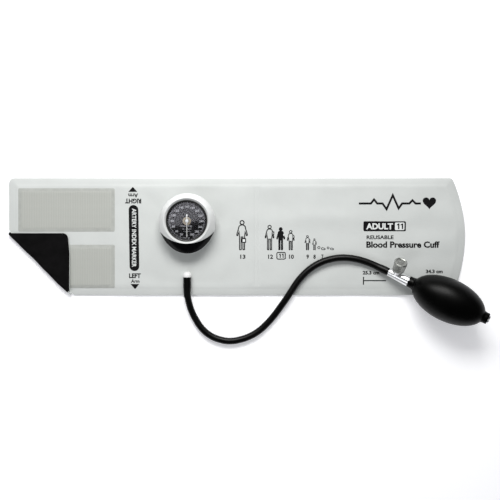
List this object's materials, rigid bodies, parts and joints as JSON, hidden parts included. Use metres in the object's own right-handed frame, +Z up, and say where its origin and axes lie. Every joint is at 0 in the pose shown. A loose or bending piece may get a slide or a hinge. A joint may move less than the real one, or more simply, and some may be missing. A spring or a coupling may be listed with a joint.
{
  "type": "blood pressure cuff",
  "caption": "Adult blood pressure cuff lying flat with one corner folded over, with a dial gauge on the cuff, a hose, a release valve with a thumbscrew and a hand bulb.",
  "frame": {"origin": "centre of the cuff's length and width, on its underside", "axes": "+X along the cuff towards its rounded end, +Y across it towards the gauge's side, +Z up out of the printed face"},
  "size_m": [0.5305, 0.1863, 0.0534],
  "materials": {
    "cuff_fabric": "urethane-coated nylon, satin",
    "lining_fabric": "brushed loop nylon, matt",
    "bladder_rubber": "matt",
    "hook_tape": "woven hook tape",
    "port_plastic": "semi-gloss",
    "bezel_plastic": "semi-gloss",
    "chin_plastic": "satin",
    "seal_rubber": "matt",
    "lens_clear": "polished clear",
    "dial_paint": "matt black",
    "pointer_paint": "matt white",
    "brass": "machined",
    "steel": "machined",
    "chrome": "polished",
    "knob_metal": "knurled",
    "hose_rubber": "smooth, satin",
    "bulb_rubber": "smooth, satin"
  },
  "bodies": {
    "root": {"cuff_outer_shell": "cuff_fabric", "inner_lining": "lining_fabric", "air_bladder": "bladder_rubber", "hook_patch_upper": "hook_tape", "hook_patch_lower": "hook_tape", "gauge_port": "port_plastic", "port_clip": "steel", "swivel_seal": "seal_rubber", "hose_port": "port_plastic", "hose_tube": "hose_rubber", "hose_sleeve_port": "hose_rubber", "hose_sleeve_valve": "hose_rubber", "valve_body": "chrome", "stem_seal": "seal_rubber", "outlet_seat": "brass", "bulb": "bulb_rubber", "end_valve_body": "chrome", "end_valve_cage": "brass", "intake_filter": "steel"},
    "corner_flap": {"corner_flap_shell": "cuff_fabric", "corner_flap_lining": "lining_fabric", "corner_flap_hook": "hook_tape"},
    "gauge": {"gauge_case": "bezel_plastic", "bezel_ring": "bezel_plastic", "bezel_chin": "chin_plastic", "lens_ring": "chin_plastic", "lens_gasket": "seal_rubber", "lens": "lens_clear", "dial_plate": "dial_paint", "dial_bushing": "brass", "movement_bridge": "steel", "bridge_screws": "steel", "capsule_stud": "brass", "capsule_lower": "brass"},
    "capsule": {"capsule_upper": "brass"},
    "pointer": {"drive_ribbon": "steel", "spindle": "steel", "pointer": "pointer_paint", "pointer_cap": "pointer_paint"},
    "needle": {"valve_needle": "brass"},
    "thumbscrew": {"thumbscrew_stem": "steel", "thumbscrew_knob": "knob_metal"},
    "bulb_patch": {"bulb_thumb_patch": "bulb_rubber"},
    "outlet_ball": {"outlet_ball": "steel"},
    "intake_ball": {"intake_ball": "steel"}
  },
  "joints": [
    {"name": "corner_fold", "type": "hinge", "parent": "root", "child": "corner_flap", "pos_m": [-0.186, -0.0655, 0.00365], "axis": [0.7071, -0.7071, 0], "range_deg": [0, 179.9]},
    {"name": "gauge_swivel", "type": "hinge", "parent": "root", "child": "gauge", "pos_m": [-0.0548, 0.0168, 0.008], "axis": [0, 0, 1], "continuous": true},
    {"name": "pointer_turn", "type": "hinge", "parent": "gauge", "child": "pointer", "pos_m": [-0.0548, 0.0168, 0.022], "axis": [0, 0, -1], "range_deg": [0, 339]},
    {"name": "capsule_lift", "type": "slide", "parent": "gauge", "child": "capsule", "axis": [0, 0, 1], "range_m": [0, 0.0015], "stiffness_N_per_m": 400},
    {"name": "needle_lift", "type": "slide", "parent": "root", "child": "needle", "axis": [0.1367, 0.6864, 0.7142], "range_m": [0, 0.0015]},
    {"name": "thumbscrew_turn", "type": "hinge", "parent": "needle", "child": "thumbscrew", "pos_m": [0.17657, -0.04328, 0.0135], "axis": [0.1367, 0.6864, 0.7142], "range_deg": [0, 540]},
    {"name": "bulb_squeeze", "type": "slide", "parent": "root", "child": "bulb_patch", "axis": [0.2174, -0.1061, -0.9703], "range_m": [0, 0.01], "stiffness_N_per_m": 400},
    {"name": "outlet_ball_lift", "type": "slide", "parent": "root", "child": "outlet_ball", "axis": [-0.8721, 0.4253, -0.2419], "range_m": [0, 0.001]},
    {"name": "intake_ball_lift", "type": "slide", "parent": "root", "child": "intake_ball", "axis": [-0.8721, 0.4253, -0.2419], "range_m": [0, 0.001]}
  ],
  "couplings": [
    {"joint": "pointer_turn", "follows": "capsule_lift", "rad_per_m": 3944.4},
    {"joint": "thumbscrew_turn", "follows": "needle_lift", "rad_per_m": 6283.1}
  ]
}
